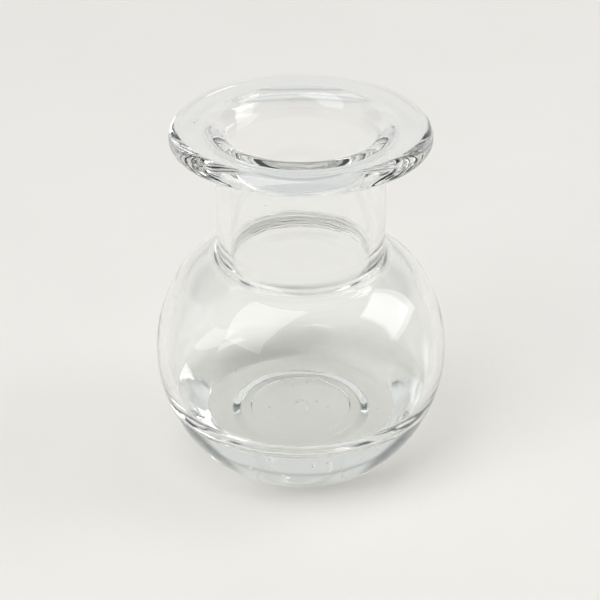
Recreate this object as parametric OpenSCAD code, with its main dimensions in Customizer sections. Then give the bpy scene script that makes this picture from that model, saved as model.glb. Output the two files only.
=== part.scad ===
// Round glass trap jar: a thick base, a ball-shaped bowl, a necked-in shoulder,
// a straight neck and a wide, rounded lip.
// The jar is one casting of clear glass. It is drawn here as five sections, divided
// where a glassmaker's steps divide it, and each section meets the next face to face.
// Millimetres, +Z up. The origin is the centre of the ring that the jar stands on.

/* [Bowl] */
// Outer radius of the ball-shaped bowl
bowl_r = 50; // [40:1:64]
// Thickness of the bowl's side wall
bowl_wall = 4; // [3:0.5:6]
// Radius of the rounding that turns the ball into the shoulder
shoulder_r = 28; // [24:1:40]
// Angle above the ball's widest ring at which that rounding begins
shoulder_tilt = 30; // [20:1:40]

/* [Base] */
// Radius at which the ball is cut off by the table
foot_r = 34; // [30:0.5:38]
// Rounding of the foot's outer edge
foot_edge_r = 1.5; // [0.5:0.25:2]
// Height of the floor inside the bowl above the table
floor_h = 18; // [12:0.5:22]
// Radius of the rounded corner between the floor and the wall inside
floor_corner_r = 12; // [6:0.5:16]
// Rim radius of the shallow kick under the base
kick_rim_r = 24.5; // [22:0.5:29]
// Radius of the flat ceiling of the kick
kick_top_r = 21; // [12:0.5:22]
// Depth of the kick
kick_h = 2; // [1:0.5:5]

/* [Neck] */
// Outer radius of the neck
neck_r = 28.4; // [24:0.2:34]
// Thickness of the neck's wall
neck_wall = 4.7; // [3:0.1:6]
// Height of the neck, from the top of the shoulder to the underside of the lip
neck_h = 40; // [28:1:60]
// Outside rounding between the shoulder and the neck
shoulder_fillet_r = 6; // [1:0.5:8]
// Rounding of the inner edge where the bowl opens into the neck
throat_edge_r = 1.5; // [0.5:0.25:3]

/* [Lip] */
// Outer radius of the lip
lip_r = 43.5; // [38:0.5:52]
// Rounding of the lip's outer edge above its widest ring
lip_top_edge_r = 4.5; // [2:0.25:6]
// Rounding of the lip's outer edge below its widest ring
lip_low_edge_r = 1.3; // [0.5:0.1:4]
// Rounding from the neck's outside into the underside of the lip
lip_under_fillet_r = 5; // [2:0.5:8]
// Rounding from the top of the lip into the neck's bore
mouth_edge_r = 7.3; // [3:0.1:8]

/* [Hidden] */
$fn = 96;

// Heights above the table
bowl_z = sqrt(pow(bowl_r, 2) - pow(foot_r, 2));    // centre of the ball
lip_under_z = turn_z(bowl_r, shoulder_r) + shoulder_r + neck_h; // underside of the lip
lip_mid_z = lip_under_z + lip_low_edge_r;          // widest ring of the lip
lip_top_z = lip_mid_z + lip_top_edge_r;            // top of the jar

// Inside radii
cavity_r = bowl_r - bowl_wall;
hollow_shoulder_r = shoulder_r - bowl_wall;
bore_r = neck_r - neck_wall;

// Heights at which one section ends and the next begins
base_top_z = floor_h + floor_corner_r * 0.45;
bowl_top_z = bowl_z + bowl_r * 0.4;
neck_low_z = web_z(cavity_r, hollow_shoulder_r, bore_r, throat_edge_r);
neck_top_z = lip_top_z - mouth_edge_r;

// Larger than any radius or height of the jar
reach = bowl_r + lip_r + lip_top_z;

// Centre of the rounding of radius turn_r that touches a ball of radius ball_r from
// within, where the ball turns into the shoulder
function turn_x(ball_r, turn_r) = (ball_r - turn_r) * cos(shoulder_tilt);
function turn_z(ball_r, turn_r) = bowl_z + (ball_r - turn_r) * sin(shoulder_tilt);

// Height of the centre of a rounding of radius r that touches both the shoulder of
// that ball and a coaxial tube of radius tube_r that stands on it
function web_z(ball_r, turn_r, tube_r, r) =
    turn_z(ball_r, turn_r)
    + sqrt(pow(turn_r + r, 2) - pow(max(0, tube_r + r - turn_x(ball_r, turn_r)), 2));

// Radius of the centre of a rounding of radius r that rests on the level z
// and touches the ball of radius ball_r from within
function corner_x(ball_r, z, r) =
    sqrt(pow(ball_r - r, 2) - pow(z + r - bowl_z, 2));

module disc(x, z, r) {
    translate([x, z]) circle(r = r);
}

// Half outline of a ball that is flattened below at level z, with a rounded edge r,
// and that turns into a level shoulder above with a rounding of radius turn_r
module ball_outline(ball_r, z, r, turn_r) {
    x = corner_x(ball_r, z, r);
    rise = z + r - bowl_z;
    tx = turn_x(ball_r, turn_r);
    tz = turn_z(ball_r, turn_r);
    turn_ray = [reach * tx, bowl_z + reach * (tz - bowl_z)];
    intersection() {
        disc(0, bowl_z, ball_r);
        polygon([[0, bowl_z], [reach * x, bowl_z + reach * rise], turn_ray]);
    }
    disc(x, z + r, r);
    polygon([[0, z], [x, z], [x, z + r], [0, bowl_z]]);
    intersection() {
        disc(tx, tz, turn_r);
        polygon([[0, bowl_z], turn_ray, [0, turn_ray[1]]]);
    }
    polygon([[0, bowl_z], [tx, tz], [tx, tz + turn_r], [0, tz + turn_r]]);
}

// What a rounding of radius r adds between that shoulder and the tube that stands on it
module web(ball_r, turn_r, tube_r, r) {
    z = web_z(ball_r, turn_r, tube_r, r);
    tx = min(turn_x(ball_r, turn_r), tube_r + r);
    tz = turn_z(ball_r, turn_r);
    difference() {
        polygon([[0, tz], [tx, tz], [tube_r + r, z], [0, z]]);
        disc(tube_r + r, z, r);
    }
}

module lip_outline() {
    translate([0, lip_mid_z]) square([lip_r - lip_top_edge_r, lip_top_edge_r]);
    translate([0, lip_under_z]) square([lip_r - lip_low_edge_r, lip_low_edge_r]);
    intersection() {
        disc(lip_r - lip_top_edge_r, lip_mid_z, lip_top_edge_r);
        translate([0, lip_mid_z]) square([reach, lip_top_edge_r]);
    }
    intersection() {
        disc(lip_r - lip_low_edge_r, lip_mid_z, lip_low_edge_r);
        translate([0, lip_under_z]) square([reach, lip_low_edge_r]);
    }
    difference() {
        translate([0, lip_under_z - lip_under_fillet_r])
            square([neck_r + lip_under_fillet_r, lip_under_fillet_r]);
        disc(neck_r + lip_under_fillet_r, lip_under_z - lip_under_fillet_r, lip_under_fillet_r);
    }
}

module outer_outline() {
    ball_outline(bowl_r, 0, foot_edge_r, shoulder_r);
    web(bowl_r, shoulder_r, neck_r, shoulder_fillet_r);
    translate([0, bowl_z]) square([neck_r, lip_under_z - bowl_z]);
    lip_outline();
}

module hollow_outline() {
    ball_outline(cavity_r, floor_h, floor_corner_r, hollow_shoulder_r);
    web(cavity_r, hollow_shoulder_r, bore_r, throat_edge_r);
    translate([0, bowl_z]) square([bore_r, reach]);
    difference() {
        translate([0, lip_top_z - mouth_edge_r]) square([bore_r + mouth_edge_r, reach]);
        disc(bore_r + mouth_edge_r, lip_top_z - mouth_edge_r, mouth_edge_r);
    }
}

module kick_outline() {
    polygon([[0, -1], [kick_rim_r, -1], [kick_rim_r, 0], [kick_top_r, kick_h], [0, kick_h]]);
}

// The glass between two heights
module glass_section(low_z, high_z) {
    rotate_extrude() intersection() {
        difference() {
            outer_outline();
            hollow_outline();
            kick_outline();
        }
        polygon([[0, low_z], [reach, low_z], [reach, high_z], [0, high_z]]);
    }
}

// Thick puddle of glass with the kick under it and the dished floor on top
module base() {
    color([0.78, 0.86, 0.84, 0.6]) glass_section(0, base_top_z);
}

// Wall of the ball round its widest part
module bowl() {
    color([0.86, 0.92, 0.90, 0.5]) glass_section(base_top_z, bowl_top_z);
}

// Wall that closes in from the ball to the neck
module shoulder() {
    color([0.80, 0.88, 0.87, 0.5]) glass_section(bowl_top_z, neck_low_z);
}

// Straight tube whose bore takes a stopper or a funnel spout
module neck() {
    color([0.88, 0.93, 0.92, 0.5]) glass_section(neck_low_z, neck_top_z);
}

// Wide flange with a rounded edge and a rounded mouth
module lip() {
    color([0.74, 0.84, 0.84, 0.6]) glass_section(neck_top_z, lip_top_z);
}

base();
bowl();
shoulder();
neck();
lip();
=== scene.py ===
# %% [markdown]
# # A round glass trap jar
# The jar is one casting of clear glass: a thick base, a ball-shaped bowl, a shoulder,
# a straight neck and a wide rounded lip. The measured model comes in first, as five
# sections of that glass. Then one continuous skin of glass is drawn round its outline,
# finished, and put on a pale table under two soft windows.

import math

import bpy
from mathutils import Matrix, Vector


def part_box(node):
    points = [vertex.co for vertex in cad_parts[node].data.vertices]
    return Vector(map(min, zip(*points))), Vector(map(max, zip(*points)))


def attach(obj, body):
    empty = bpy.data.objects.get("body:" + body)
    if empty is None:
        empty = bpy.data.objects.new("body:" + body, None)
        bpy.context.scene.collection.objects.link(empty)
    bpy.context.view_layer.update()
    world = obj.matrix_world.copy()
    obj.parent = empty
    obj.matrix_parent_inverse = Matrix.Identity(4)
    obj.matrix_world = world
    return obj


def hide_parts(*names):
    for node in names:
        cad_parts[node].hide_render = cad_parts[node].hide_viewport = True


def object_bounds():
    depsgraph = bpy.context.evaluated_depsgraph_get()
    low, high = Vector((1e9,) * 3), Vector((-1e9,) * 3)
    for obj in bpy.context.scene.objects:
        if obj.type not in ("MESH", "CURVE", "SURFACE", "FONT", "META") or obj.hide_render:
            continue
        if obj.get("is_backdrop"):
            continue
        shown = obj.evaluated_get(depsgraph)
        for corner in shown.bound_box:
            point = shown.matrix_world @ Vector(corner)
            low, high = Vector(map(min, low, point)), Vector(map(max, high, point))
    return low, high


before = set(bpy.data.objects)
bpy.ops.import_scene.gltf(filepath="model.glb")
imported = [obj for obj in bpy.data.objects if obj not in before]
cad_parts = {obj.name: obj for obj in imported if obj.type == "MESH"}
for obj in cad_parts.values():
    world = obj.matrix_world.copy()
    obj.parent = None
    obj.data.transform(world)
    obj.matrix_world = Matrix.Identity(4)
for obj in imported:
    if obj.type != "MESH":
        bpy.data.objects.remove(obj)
measured_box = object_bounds()
sections = ["base", "bowl", "shoulder", "neck", "lip"]
for name in sections:
    low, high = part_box(name)
    print(name, "from", round(low.z * 1000, 2), "to", round(high.z * 1000, 2), "mm high")

# %% [markdown]
# ## The camera
# A vessel is understood by its rings, so the eye looks down at it by 30 degrees, from
# about 0.7 m away. A long lens keeps the lip from looming over the foot. The distances
# are given from the middle of the ball, because everything on the jar grows from there.

# %% Place the camera
millimetre = 0.001
jar_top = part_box("lip")[1].z
ball_middle = jar_top - 84.8 * millimetre

camera_data = bpy.data.cameras.new("long_lens")
camera_data.lens = 120
camera_data.sensor_width = 36
camera_data.clip_start = 0.01
camera = bpy.data.objects.new("camera", camera_data)
bpy.context.scene.collection.objects.link(camera)
camera.location = (-0.0003, -0.5958, 0.3617 + ball_middle)
camera.rotation_euler = (math.radians(60), 0, 0)
bpy.context.scene.camera = camera
print("ball's middle", round(ball_middle * 1000, 2), "mm above the table")

# %% [markdown]
# ## A pen for outlines
# A turned shape is its outline, swept once round the axis. The outline could be typed in
# as a list of points, but then nobody could see which radius made which curve. Here it
# is drawn as with a pen and a pair of compasses. A plane merged to its middle leaves one
# vertex, which is the pen. Extruding the vertex draws a straight line, and spinning it
# about a point draws a true arc. The newest vertex stays selected, so the next stroke
# goes on from there.


# %% The pen and its strokes
def deselect_all():
    bpy.ops.object.select_all(action="DESELECT")


def put_pen_down(name, x, z):
    """Starts a new outline as one vertex at (x, 0, z) and leaves it in edit mode."""
    deselect_all()
    bpy.ops.mesh.primitive_plane_add(size=0.001, location=(0, 0, 0))
    outline = bpy.context.object
    outline.name = name
    bpy.ops.object.mode_set(mode="EDIT")
    bpy.ops.mesh.select_all(action="SELECT")
    bpy.ops.mesh.merge(type="CENTER")
    bpy.ops.transform.translate(value=(x, 0, z))
    pen.update(x=x, z=z)
    return outline


def line_to(x, z, steps=1):
    """Extrudes the pen's vertex in a straight line to (x, 0, z), in equal steps."""
    step = ((x - pen["x"]) / steps, 0, (z - pen["z"]) / steps)
    for _ in range(steps):
        bpy.ops.mesh.extrude_region_move(TRANSFORM_OT_translate={"value": step})
    pen.update(x=x, z=z)


def arc_to(x, z, middle_x, middle_z, steps):
    """Spins the pen's vertex about a middle point, the short way round, to (x, 0, z)."""
    begin = math.atan2(pen["z"] - middle_z, pen["x"] - middle_x)
    end = math.atan2(z - middle_z, x - middle_x)
    turn = (end - begin + math.pi) % (2 * math.pi) - math.pi
    bpy.ops.mesh.spin(
        steps=steps, angle=turn, center=(middle_x, 0, middle_z), axis=(0, 1, 0)
    )
    pen.update(x=x, z=z)


pen = {"x": 0.0, "z": 0.0}

# %% [markdown]
# ## The sizes of the glass
# The top of the jar comes from the measured model, and the other sizes repeat that
# model's own, so the skin stays on it. The ball, the shoulder and the lip are true arcs
# that run into one another without a kink. Two arcs meet smoothly where the line through
# their middles crosses them, and the small helpers below find such points.

# %% Radii and heights, in metres
wall = 4.0 * millimetre
foot_edge = 1.5 * millimetre
kick_rim, kick_top, kick_height = 24.5 * millimetre, 21.0 * millimetre, 2.0 * millimetre
floor_height = 18.0 * millimetre
floor_corner = 12.0 * millimetre
turn_radius = 28.0 * millimetre
turn_angle = math.radians(30)
neck_radius = 28.4 * millimetre
bore_radius = neck_radius - 4.7 * millimetre
neck_fillet, throat_edge = 6.0 * millimetre, 1.5 * millimetre
lip_radius = 43.5 * millimetre
lip_top_edge, lip_low_edge = 4.5 * millimetre, 1.3 * millimetre
lip_under_fillet, mouth_edge = 5.0 * millimetre, 7.3 * millimetre
lip_middle = jar_top - lip_top_edge
lip_under = lip_middle - lip_low_edge
bowl_radius = 50.0 * millimetre
hollow_radius = bowl_radius - wall


def resting_x(ball, level, rounding):
    """Where the middle of a rounding lies that rests on a level and touches the ball."""
    return math.sqrt((ball - rounding) ** 2 - (level + rounding - ball_middle) ** 2)


def turning_point(ball, rounding):
    """The middle of the rounding that turns the ball into the shoulder."""
    reach = ball - rounding
    return reach * math.cos(turn_angle), ball_middle + reach * math.sin(turn_angle)


def standing_z(middle_x, middle_z, rounding, tube, fillet):
    """Height of a fillet that touches both the shoulder's rounding and a tube on it."""
    return middle_z + math.sqrt((rounding + fillet) ** 2 - (tube + fillet - middle_x) ** 2)


def towards(x, z, other_x, other_z, distance):
    """The point at a distance from (x, z), on the way to (other_x, other_z)."""
    span = math.hypot(other_x - x, other_z - z)
    return x + (other_x - x) * distance / span, z + (other_z - z) * distance / span


# %% [markdown]
# ## The outline, outside first
# The pen starts on the axis under the foot and goes up the outside. The kick under the
# base is a shallow dish with softened edges, because a flame polishes every edge of such
# glass. Curves that show at the silhouette get the most steps.


# %% Draw the outside
def soft_corner(corner, after, radius, steps, strokes=1):
    """Draws to a corner, rounds it, and leaves the pen heading for the next point."""
    span_in = math.atan2(pen["z"] - corner[1], pen["x"] - corner[0])
    span_out = math.atan2(after[1] - corner[1], after[0] - corner[0])
    half = abs((span_out - span_in + math.pi) % (2 * math.pi) - math.pi) / 2
    back = radius / math.tan(half)
    begin = towards(*corner, pen["x"], pen["z"], back)
    end = towards(*corner, *after, back)
    bisector = (begin[0] + end[0]) / 2, (begin[1] + end[1]) / 2
    middle = towards(*corner, *bisector, radius / math.sin(half))
    line_to(*begin, strokes)
    arc_to(*end, *middle, steps)


mark_radius, mark_depth = 1.8 * millimetre, 0.35 * millimetre
step_radius, step_depth = 17.2 * millimetre, 0.3 * millimetre
upper = kick_height + step_depth
glass = put_pen_down("glass_jar", 0.0, upper + mark_depth)
soft_corner((mark_radius, upper + mark_depth), (2 * mark_radius, upper), 0.6 * millimetre, 4)
soft_corner((2 * mark_radius, upper), (step_radius, upper), 0.6 * millimetre, 4)
inner_step = step_radius + 2 * step_depth
soft_corner((step_radius, upper), (inner_step, kick_height), 0.5 * millimetre, 4, 10)
soft_corner((inner_step, kick_height), (kick_top, kick_height), 0.5 * millimetre, 4)
soft_corner((kick_top, kick_height), (kick_rim, 0.0), 3.0 * millimetre, 8)
foot_x = resting_x(bowl_radius, 0.0, foot_edge)
soft_corner((kick_rim, 0.0), (foot_x, 0.0), 1.5 * millimetre, 8)
line_to(foot_x, 0.0, 6)
low_turn = towards(0.0, ball_middle, foot_x, foot_edge, bowl_radius)
arc_to(*low_turn, foot_x, foot_edge, 8)
out_x, out_z = turning_point(bowl_radius, turn_radius)
high_turn = towards(0.0, ball_middle, out_x, out_z, bowl_radius)
arc_to(*high_turn, 0.0, ball_middle, 56)
fillet_z = standing_z(out_x, out_z, turn_radius, neck_radius, neck_fillet)
neck_start = towards(out_x, out_z, neck_radius + neck_fillet, fillet_z, turn_radius)
arc_to(*neck_start, out_x, out_z, 24)
arc_to(neck_radius, fillet_z, neck_radius + neck_fillet, fillet_z, 10)
line_to(neck_radius, lip_under - lip_under_fillet, 20)
under_x = neck_radius + lip_under_fillet
arc_to(under_x, lip_under, under_x, lip_under - lip_under_fillet, 14)
line_to(lip_radius - lip_low_edge, lip_under, 6)
arc_to(lip_radius, lip_middle, lip_radius - lip_low_edge, lip_middle, 10)
arc_to(lip_radius - lip_top_edge, jar_top, lip_radius - lip_top_edge, lip_middle, 20)
print("outside drawn up to", round(pen["z"] * 1000, 2), "mm")

# %% [markdown]
# ## The outline, down the inside
# The same pen goes over the lip, down the bore, round the inside of the bowl and along
# the dished floor back to the axis. The inside rounding of the shoulder shares its
# middle with the outside one, so the wall keeps its thickness all the way round it.

# %% Draw the inside
mouth_x = bore_radius + mouth_edge
line_to(mouth_x, jar_top, 6)
arc_to(bore_radius, jar_top - mouth_edge, mouth_x, jar_top - mouth_edge, 28)
in_x, in_z = turning_point(hollow_radius, turn_radius - wall)
throat_z = standing_z(in_x, in_z, turn_radius - wall, bore_radius, throat_edge)
line_to(bore_radius, throat_z, 20)
throat_end = towards(in_x, in_z, bore_radius + throat_edge, throat_z, turn_radius - wall)
arc_to(*throat_end, bore_radius + throat_edge, throat_z, 12)
inner_turn = towards(0.0, ball_middle, in_x, in_z, hollow_radius)
arc_to(*inner_turn, in_x, in_z, 24)
floor_x = resting_x(hollow_radius, floor_height, floor_corner)
corner_start = towards(0.0, ball_middle, floor_x, floor_height + floor_corner, hollow_radius)
arc_to(*corner_start, 0.0, ball_middle, 48)
arc_to(floor_x, floor_height, floor_x, floor_height + floor_corner, 32)
line_to(0.0, floor_height, 20)
bpy.ops.object.mode_set(mode="OBJECT")
print("outline of", len(glass.data.vertices), "points")

# %% [markdown]
# ## Sweep the outline round the axis
# Glass is blown into a turning mould, so the real jar is a swept outline too. One spin
# of the whole outline makes the skin. The last copy lands on the first, and both ends of
# the outline lie on the axis, so doubles are merged there. Normals then have to face out
# of the glass everywhere, or light would bend the wrong way.

# %% Spin the skin and close it
bpy.ops.object.mode_set(mode="EDIT")
bpy.ops.mesh.select_all(action="SELECT")
bpy.ops.mesh.spin(steps=228, angle=math.tau, center=(0, 0, 0), axis=(0, 0, 1))
bpy.ops.mesh.select_all(action="SELECT")
bpy.ops.mesh.remove_doubles(threshold=0.003 * millimetre)
bpy.ops.mesh.normals_make_consistent(inside=False)
bpy.ops.mesh.select_all(action="DESELECT")
bpy.ops.mesh.select_non_manifold()
bpy.ops.object.mode_set(mode="OBJECT")
open_vertices = sum(vertex.select for vertex in glass.data.vertices)
print("skin of", len(glass.data.polygons), "faces, open vertices:", open_vertices)

# %% [markdown]
# ## The hand in the glass
# No blown vessel is perfectly round. A slow swelling of a tenth of a millimetre makes
# reflections drift, and a finer one low in the base makes the streaks that thick glass
# has. A Displace modifier with a procedural clouds texture moves the real surface, so the
# light bends in it from every side. It is applied, because a live modifier would have to
# be worked out again for each render.

# %% Let the surface swell a little
def swell(piece, name, size, strength, group=""):
    """Moves the skin in and out by a clouds texture of this size and strength."""
    clouds = bpy.data.textures.new(name, type="CLOUDS")
    clouds.noise_scale = size
    clouds.noise_depth = 1
    deselect_all()
    piece.select_set(True)
    bpy.context.view_layer.objects.active = piece
    bpy.ops.object.modifier_add(type="DISPLACE")
    displace = piece.modifiers[-1]
    displace.texture = clouds
    displace.texture_coords = "LOCAL"
    displace.mid_level = 0.5
    displace.strength = strength
    displace.vertex_group = group
    bpy.ops.object.modifier_apply(modifier=displace.name)
    print(name, "moved the surface by up to", round(strength * 500, 3), "mm")


low_glass = glass.vertex_groups.new(name="low_glass")
for vertex in glass.data.vertices:
    above = vertex.co.z / floor_height
    if above < 1.6:
        low_glass.add([vertex.index], max(0.0, min(1.0, 1.6 - above)), "REPLACE")
swell(glass, "slow_swelling", 28 * millimetre, 0.14 * millimetre)
swell(glass, "base_streaks", 9 * millimetre, 0.10 * millimetre, "low_glass")

# %% [markdown]
# ## Seeds
# Small bubbles that stay in the glass are called seeds. They are real hollows, so each
# one is a little shell inside the glass whose faces point into the bubble. They sit
# mostly in the thick base, with a few in the lip. Each is a sphere, pulled a little
# longer on one side as the glass was turned, and joined to the skin.

# %% Put seeds in the base and the lip
seeds = [
    (5.5, -2.0, 9.0, 0.34), (9.5, -4.5, 7.5, 0.26), (-3.0, 6.0, 11.0, 0.22),
    (-11.0, -5.0, 8.0, 0.30), (2.0, 12.0, 6.0, 0.24), (14.0, 7.0, 10.0, 0.20),
    (-7.5, -14.0, 12.5, 0.20), (-35.0, 2.0, 118.6, 0.30), (-34.2, 4.4, 118.2, 0.22),
    (30.5, -22.0, 118.4, 0.20),
]
shells = []
for x, y, z, radius in seeds:
    deselect_all()
    spot = (x * millimetre, y * millimetre, z * millimetre)
    bpy.ops.mesh.primitive_uv_sphere_add(
        segments=16, ring_count=10, radius=radius * millimetre, location=spot
    )
    shell = bpy.context.object
    bpy.ops.object.mode_set(mode="EDIT")
    bpy.ops.mesh.select_all(action="SELECT")
    bpy.ops.transform.resize(value=(1.35, 0.9, 0.8), center_override=spot)
    bpy.ops.mesh.flip_normals()
    bpy.ops.object.mode_set(mode="OBJECT")
    shells.append(shell)
deselect_all()
for shell in shells:
    shell.select_set(True)
glass.select_set(True)
bpy.context.view_layer.objects.active = glass
bpy.ops.object.join()
bpy.ops.object.shade_smooth()
bpy.ops.object.transform_apply(location=True, rotation=True, scale=True)
print(len(seeds), "seeds;", sum(len(face.vertices) - 2 for face in glass.data.polygons), "triangles")

# %% [markdown]
# ## Effects that the glass reads
# Three small node groups hold what changes over the surface. One gives the ripple of
# hand-made glass as a height for a Bump node. One gives the haze where a cloth wiped the
# jar, with dust caught in it, as a roughness. One gives the tint, which deepens low in the
# thick base: partly the glass's own green, partly painted shade for the shade under the jar.
# They read Object coordinates, so the pattern stays on the glass.


# %% A helper that starts a group, and the ripple
def start_group(name, inputs, outputs):
    """Makes a shader node group with these sockets and gives its two end nodes."""
    group = bpy.data.node_groups.new(name, "ShaderNodeTree")
    for socket, kind, value in inputs:
        made = group.interface.new_socket(socket, in_out="INPUT", socket_type=kind)
        if value is not None:
            made.default_value = value
    for socket, kind in outputs:
        group.interface.new_socket(socket, in_out="OUTPUT", socket_type=kind)
    return group, group.nodes.new("NodeGroupInput"), group.nodes.new("NodeGroupOutput")


def math_node(tree, operation, first, second):
    """Adds a Math node whose inputs are sockets or plain numbers."""
    node = tree.nodes.new("ShaderNodeMath")
    node.operation = operation
    for slot, value in enumerate((first, second)):
        if isinstance(value, (int, float)):
            node.inputs[slot].default_value = value
        else:
            tree.links.new(value, node.inputs[slot])
    return node.outputs[0]


ripple, ripple_in, ripple_out = start_group(
    "hand_ripple",
    [("Vector", "NodeSocketVector", None), ("Scale", "NodeSocketFloat", 60.0),
     ("Rings", "NodeSocketFloat", 0.3)],
    [("Height", "NodeSocketFloat")],
)
drift = ripple.nodes.new("ShaderNodeTexNoise")
drift.inputs["Detail"].default_value = 2.0
drift.inputs["Roughness"].default_value = 0.4
flatten = ripple.nodes.new("ShaderNodeMapping")
flatten.inputs["Scale"].default_value = (0.35, 0.35, 2.2)
streaks = ripple.nodes.new("ShaderNodeTexNoise")
streaks.inputs["Detail"].default_value = 1.0
ripple.links.new(ripple_in.outputs["Vector"], drift.inputs["Vector"])
ripple.links.new(ripple_in.outputs["Scale"], drift.inputs["Scale"])
ripple.links.new(ripple_in.outputs["Vector"], flatten.inputs["Vector"])
ripple.links.new(flatten.outputs["Vector"], streaks.inputs["Vector"])
ripple.links.new(
    math_node(ripple, "MULTIPLY", ripple_in.outputs["Scale"], 2.5), streaks.inputs["Scale"]
)
ring_part = math_node(ripple, "MULTIPLY", streaks.outputs["Fac"], ripple_in.outputs["Rings"])
ripple.links.new(
    math_node(ripple, "ADD", drift.outputs["Fac"], ring_part), ripple_out.inputs["Height"]
)
print(ripple.name, "has", len(ripple.nodes), "nodes")

# %% Haze left by a cloth, with dust in it
haze, haze_in, haze_out = start_group(
    "wiped_haze",
    [("Vector", "NodeSocketVector", None), ("Clean", "NodeSocketFloat", 0.0),
     ("Smudged", "NodeSocketFloat", 0.03), ("Dust", "NodeSocketFloat", 0.25)],
    [("Roughness", "NodeSocketFloat"), ("Dust", "NodeSocketFloat")],
)
smear = haze.nodes.new("ShaderNodeTexNoise")
smear.inputs["Scale"].default_value = 38.0
smear.inputs["Detail"].default_value = 5.0
smear.inputs["Distortion"].default_value = 1.4
patches = haze.nodes.new("ShaderNodeMapRange")
patches.inputs["From Min"].default_value = 0.52
patches.inputs["From Max"].default_value = 0.74
specks = haze.nodes.new("ShaderNodeTexVoronoi")
specks.inputs["Scale"].default_value = 190.0
near_speck = haze.nodes.new("ShaderNodeMapRange")
near_speck.inputs["From Min"].default_value = 0.075
near_speck.inputs["From Max"].default_value = 0.045
chosen = haze.nodes.new("ShaderNodeSeparateColor")
haze.links.new(haze_in.outputs["Vector"], smear.inputs["Vector"])
haze.links.new(haze_in.outputs["Vector"], specks.inputs["Vector"])
haze.links.new(smear.outputs["Fac"], patches.inputs["Value"])
haze.links.new(haze_in.outputs["Clean"], patches.inputs["To Min"])
haze.links.new(haze_in.outputs["Smudged"], patches.inputs["To Max"])
haze.links.new(specks.outputs["Distance"], near_speck.inputs["Value"])
haze.links.new(specks.outputs["Color"], chosen.inputs["Color"])
few = math_node(haze, "GREATER_THAN", chosen.outputs["Red"], 0.8)
dust = math_node(haze, "MULTIPLY", near_speck.outputs["Result"], few)
dust_rough = math_node(haze, "MULTIPLY", dust, haze_in.outputs["Dust"])
haze.links.new(dust, haze_out.inputs["Dust"])
haze.links.new(
    math_node(haze, "ADD", patches.outputs["Result"], dust_rough), haze_out.inputs["Roughness"]
)
print(haze.name, "has", len(haze.nodes), "nodes")

# %% Tint that deepens in the thick base, partly glass green and partly painted shade
tint_and_shade, tint_and_shade_in, tint_and_shade_out = start_group(
    "low_tint_and_painted_shade",
    [("Vector", "NodeSocketVector", None), ("Thin", "NodeSocketColor", (1, 1, 1, 1)),
     ("Thick", "NodeSocketColor", (1, 1, 1, 1)), ("Dust", "NodeSocketFloat", 0.0)],
    [("Color", "NodeSocketColor")],
)
place = tint_and_shade.nodes.new("ShaderNodeSeparateXYZ")
# The glass darkens towards the bottom, below about 25 mm: its own green, and painted shade for the
# shade under and around the jar.
low_shade_mask = tint_and_shade.nodes.new("ShaderNodeMapRange")
low_shade_mask.interpolation_type = "SMOOTHSTEP"
low_shade_mask.inputs["From Min"].default_value = 1.4 * floor_height
low_shade_mask.inputs["From Max"].default_value = 0.5 * floor_height
blend = tint_and_shade.nodes.new("ShaderNodeMix")
blend.data_type = "RGBA"
dusty = tint_and_shade.nodes.new("ShaderNodeMix")
dusty.data_type = "RGBA"
dusty.inputs[7].default_value = (0.80, 0.79, 0.76, 1)
tint_and_shade.links.new(tint_and_shade_in.outputs["Vector"], place.inputs["Vector"])
tint_and_shade.links.new(place.outputs["Z"], low_shade_mask.inputs["Value"])
tint_and_shade.links.new(low_shade_mask.outputs["Result"], blend.inputs[0])
tint_and_shade.links.new(tint_and_shade_in.outputs["Thin"], blend.inputs[6])
tint_and_shade.links.new(tint_and_shade_in.outputs["Thick"], blend.inputs[7])
tint_and_shade.links.new(tint_and_shade_in.outputs["Dust"], dusty.inputs[0])
tint_and_shade.links.new(blend.outputs[2], dusty.inputs[6])
tint_and_shade.links.new(dusty.outputs[2], tint_and_shade_out.inputs["Color"])
print(tint_and_shade.name, "has", len(tint_and_shade.nodes), "nodes")

# %% [markdown]
# ## Clear glass with a breath of grey-green
# Soda-lime glass bends light with an index of about 1.51. Its green shows only where
# light goes a long way through it, so the thin walls stay almost colourless. The thick
# colour is darker than that green alone, because it also holds painted shade, which darkens
# the base as the shade under the jar would. Metallic, index and transmission are plain
# numbers on the shader, because they are the same all over.

# %% Mix the clear glass
clear_glass = bpy.data.materials.new("clear_glass_fire_polished")
clear_glass.use_nodes = True
glass_tree = clear_glass.node_tree
glass_shader = glass_tree.nodes["Principled BSDF"]
glass_shader.inputs["Metallic"].default_value = 0.0
glass_shader.inputs["IOR"].default_value = 1.51
glass_shader.inputs["Transmission Weight"].default_value = 1.0
where = glass_tree.nodes.new("ShaderNodeTexCoord")


def place_group(group, **values):
    """Puts a group into the glass and sets its inputs."""
    node = glass_tree.nodes.new("ShaderNodeGroup")
    node.node_tree = group
    glass_tree.links.new(where.outputs["Object"], node.inputs["Vector"])
    for socket, value in values.items():
        node.inputs[socket].default_value = value
    return node


wiped = place_group(haze, Clean=0.0, Smudged=0.012, Dust=0.3)
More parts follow.
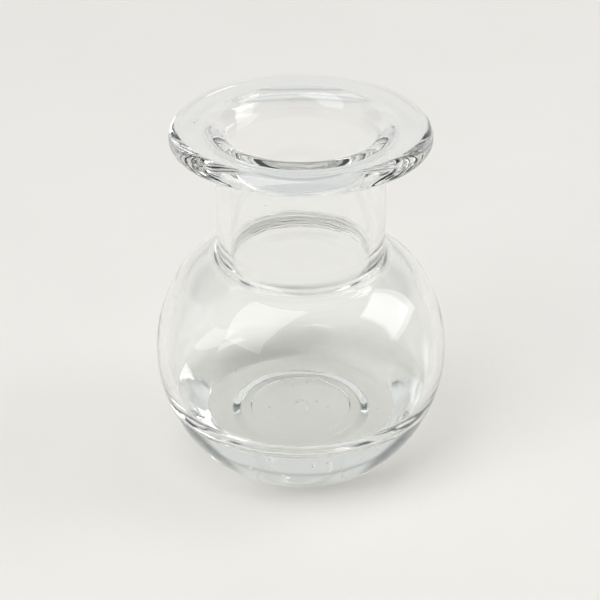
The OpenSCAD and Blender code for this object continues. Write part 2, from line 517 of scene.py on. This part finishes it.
# The thick colour below is partly the green of thick glass and partly painted shade, darkening the
# base and the low bowl.
tint_and_shade_node = place_group(tint_and_shade, Thin=(0.987, 0.993, 0.990, 1), Thick=(0.845, 0.858, 0.832, 1))
rippled = place_group(ripple, Scale=55.0, Rings=0.35)
bump = glass_tree.nodes.new("ShaderNodeBump")
bump.inputs["Strength"].default_value = 0.35
bump.inputs["Distance"].default_value = 0.12 * millimetre
glass_tree.links.new(wiped.outputs["Roughness"], glass_shader.inputs["Roughness"])
glass_tree.links.new(wiped.outputs["Dust"], tint_and_shade_node.inputs["Dust"])
glass_tree.links.new(tint_and_shade_node.outputs["Color"], glass_shader.inputs["Base Color"])
glass_tree.links.new(rippled.outputs["Height"], bump.inputs["Height"])
glass_tree.links.new(bump.outputs["Normal"], glass_shader.inputs["Normal"])
glass.data.materials.clear()
glass.data.materials.append(clear_glass)
print("glass index", round(glass_shader.inputs["IOR"].default_value, 2))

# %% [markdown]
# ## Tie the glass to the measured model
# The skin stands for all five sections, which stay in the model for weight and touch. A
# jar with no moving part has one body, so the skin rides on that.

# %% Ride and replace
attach(glass, "root")
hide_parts(*sections)

# %% [markdown]
# ## A pale table
# Glass shows what is behind it, so the table matters more here than under most things.
# It is a wide matt sheet, almost white, with a very faint unevenness in its paint.

# %% Lay the table
deselect_all()
bpy.ops.mesh.primitive_plane_add(size=8, location=(0, 0, -0.05 * millimetre))
table = bpy.context.object
table.name = "table"
table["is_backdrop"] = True
matt_white = bpy.data.materials.new("matt_white_paint")
matt_white.use_nodes = True
paint_tree = matt_white.node_tree
paint = paint_tree.nodes["Principled BSDF"]
paint.inputs["Roughness"].default_value = 0.8
paint_place = paint_tree.nodes.new("ShaderNodeTexCoord")
cloudy = paint_tree.nodes.new("ShaderNodeTexNoise")
cloudy.inputs["Scale"].default_value = 14.0
cloudy.inputs["Detail"].default_value = 3.0
shades = paint_tree.nodes.new("ShaderNodeValToRGB")
shades.color_ramp.elements[0].color = (0.705, 0.685, 0.662, 1)
shades.color_ramp.elements[1].color = (0.735, 0.715, 0.692, 1)
paint_tree.links.new(paint_place.outputs["Object"], cloudy.inputs["Vector"])
paint_tree.links.new(cloudy.outputs["Fac"], shades.inputs["Fac"])
paint_tree.links.new(shades.outputs["Color"], paint.inputs["Base Color"])
table.data.materials.append(matt_white)

# %% [markdown]
# ## Soft windows
# Two windows light the jar: a large one on the left, in front and overhead, and a
# smaller one on the right with a separate pane behind it. Each is an area light
# aimed at the bowl. Its power follows from how bright its surface should look, so that
# a change of size leaves the brightness of its reflection alone.


# %% Hang the windows
def hang_window(name, around, above, width, height, brightness, roll=0.0, away_by=2.4):
    """Adds an area light seen from the bowl at these angles, in degrees."""
    a, e = math.radians(around), math.radians(above)
    away = Vector((math.sin(a) * math.cos(e), -math.cos(a) * math.cos(e), math.sin(e)))
    light = bpy.data.lights.new(name, "AREA")
    light.shape = "RECTANGLE"
    light.size, light.size_y = width, height
    light.energy = brightness * math.pi * width * height
    window = bpy.data.objects.new(name, light)
    bpy.context.scene.collection.objects.link(window)
    window.location = away * away_by + aim
    facing = away.to_track_quat("Z", "Y").to_matrix()
    rolled = Matrix.Rotation(math.radians(roll), 3, "Z")
    window.rotation_euler = (facing @ rolled).to_euler()
    print(name, "gives", round(light.energy, 1), "W")
    return window


aim = Vector((0, 0, 60 * millimetre))
large_opening = {"around": -52, "above": 51, "width": 1.56, "height": 3.1, "roll": 3}
large_brightness = 2.3
left_window = hang_window("left_window", brightness=large_brightness, **large_opening)
hang_window("right_window", around=98, above=28, width=1.5, height=1.9, brightness=2.2)
hang_window("right_pane", around=132, above=56, width=0.7, height=0.56, brightness=3.0)

# %% [markdown]
# ## Keep one window out of the thick glass
# The base of the jar works as a strong lens and would throw an image of the big window,
# as a hard white patch, low on the far side. In a studio a screen would be moved until it
# went. Here the window is hidden from rays that came through glass. The table under the
# jar still needs its light, so a second window hangs just in front of it. It can be met
# only by light on its way through glass after it has left the table.

# %% Screen the left window
left_window.visible_transmission = False
table_window = hang_window(
    "table_window", brightness=large_brightness, away_by=2.38, **large_opening
)
table_window.visible_camera = False
table_window.visible_diffuse = False
table_window.visible_glossy = False
table_window.data.use_nodes = True
screen_tree = table_window.data.node_tree
ray = screen_tree.nodes.new("ShaderNodeLightPath")
from_table = math_node(screen_tree, "GREATER_THAN", ray.outputs["Diffuse Depth"], 0.5)
screen_tree.links.new(from_table, screen_tree.nodes["Emission"].inputs["Strength"])
print(left_window.name, "is screened from rays that came through glass")

# %% [markdown]
# ## The room round the jar
# Glass has no shade of its own, so its dark lines are the dark parts of the room, bent.
# The room is pale all round, with a thin grey rail at about 23 degrees up. It is greyer
# low down on the near side, where someone stands, dark in the ceiling above them, and
# dark in two far corners, which give the lip its dark ends. What the camera sees
# directly is plain, and only fades towards the table's far edge.

# %% Paint the room
room = bpy.data.worlds.new("room")
bpy.context.scene.world = room
room.use_nodes = True
room_tree = room.node_tree
background = room_tree.nodes["Background"]
direction = room_tree.nodes.new("ShaderNodeTexCoord")
parts = room_tree.nodes.new("ShaderNodeSeparateXYZ")
room_tree.links.new(direction.outputs["Generated"], parts.inputs["Vector"])
walls = room_tree.nodes.new("ShaderNodeValToRGB")
walls.color_ramp.elements[0].color = (0.66, 0.66, 0.65, 1)
walls.color_ramp.elements[1].color = (0.86, 0.85, 0.83, 1)
for height, shade in ((0.33, 0.72), (0.385, 0.46), (0.44, 0.70), (0.7, 0.78)):
    step = walls.color_ramp.elements.new(height)
    step.color = (shade, shade * 1.03, shade * 1.02, 1)
room_tree.links.new(parts.outputs["Z"], walls.inputs["Fac"])


def towards_side(name, x, y, z, begin, full):
    """A mask that rises to 1 where the room is looked at towards (x, y, z)."""
    length = math.sqrt(x * x + y * y + z * z)
    dot = room_tree.nodes.new("ShaderNodeVectorMath")
    dot.operation = "DOT_PRODUCT"
    dot.inputs[1].default_value = (x / length, y / length, z / length)
    room_tree.links.new(direction.outputs["Generated"], dot.inputs[0])
    mask = room_tree.nodes.new("ShaderNodeMapRange")
    mask.label = name
    mask.interpolation_type = "SMOOTHSTEP"
    mask.inputs["From Min"].default_value = begin
    mask.inputs["From Max"].default_value = full
    room_tree.links.new(dot.outputs["Value"], mask.inputs["Value"])
    return mask.outputs["Result"]


def paint_side(under, mask, colour):
    """Lays one colour, or a socket's colours, over the room where the mask says."""
    layer = room_tree.nodes.new("ShaderNodeMix")
    layer.data_type = "RGBA"
    if isinstance(colour, tuple):
        layer.inputs[7].default_value = colour
    else:
        room_tree.links.new(colour, layer.inputs[7])
    room_tree.links.new(mask, layer.inputs[0])
    room_tree.links.new(under, layer.inputs[6])
    return layer.outputs[2]


seen = walls.outputs["Color"]
grey, dark, blue_black = (0.42, 0.415, 0.40, 1), (0.10, 0.10, 0.10, 1), (0.03, 0.05, 0.055, 1)
seen = paint_side(seen, towards_side("near side", 0, -1, 0.1, 0.62, 0.93), grey)
seen = paint_side(seen, towards_side("ceiling in front", 0, -1, 1.0, 0.90, 0.98), dark)
for corner, x in (("left corner", -0.79), ("right corner", 0.79)):
    seen = paint_side(seen, towards_side(corner, x, 0.62, 0.56, 0.92, 0.975), blue_black)
eye = room_tree.nodes.new("ShaderNodeLightPath")
backdrop = room_tree.nodes.new("ShaderNodeValToRGB")
backdrop.color_ramp.elements[0].color = (0.54, 0.54, 0.51, 1)
backdrop.color_ramp.elements[1].position = 0.14
backdrop.color_ramp.elements[1].color = (0.80, 0.78, 0.76, 1)
room_tree.links.new(parts.outputs["Z"], backdrop.inputs["Fac"])
seen = paint_side(seen, eye.outputs["Is Camera Ray"], backdrop.outputs["Color"])
room_tree.links.new(seen, background.inputs["Color"])
print("the room has", len(room_tree.nodes), "nodes")

# %% [markdown]
# ## How far light is followed
# A ray that is caught inside thick glass bounces many times before it gets out, and with
# the usual limit of 12 it ends black. More bounces let it out. Twenty is chosen: it clears
# the glass but leaves the thickest corners their dark lines. Sharp caustics are kept too,
# because they are the light that falls through the jar onto the table.

# %% Let light find its way out
followed = bpy.context.scene.cycles
bounces = 20
followed.max_bounces = bounces
followed.transmission_bounces = bounces
followed.glossy_bounces = bounces
followed.transparent_max_bounces = bounces
followed.blur_glossy = 0.0
bpy.context.scene.view_settings.view_transform = "Standard"

# %% Print the sizes and finish
finished_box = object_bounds()
sizes = {
    "cad": [list(corner) for corner in measured_box],
    "visual": [list(corner) for corner in finished_box],
}
for name, (low, high) in sizes.items():
    print(name, [round((b - a) * 1000, 2) for a, b in zip(low, high)], "mm")
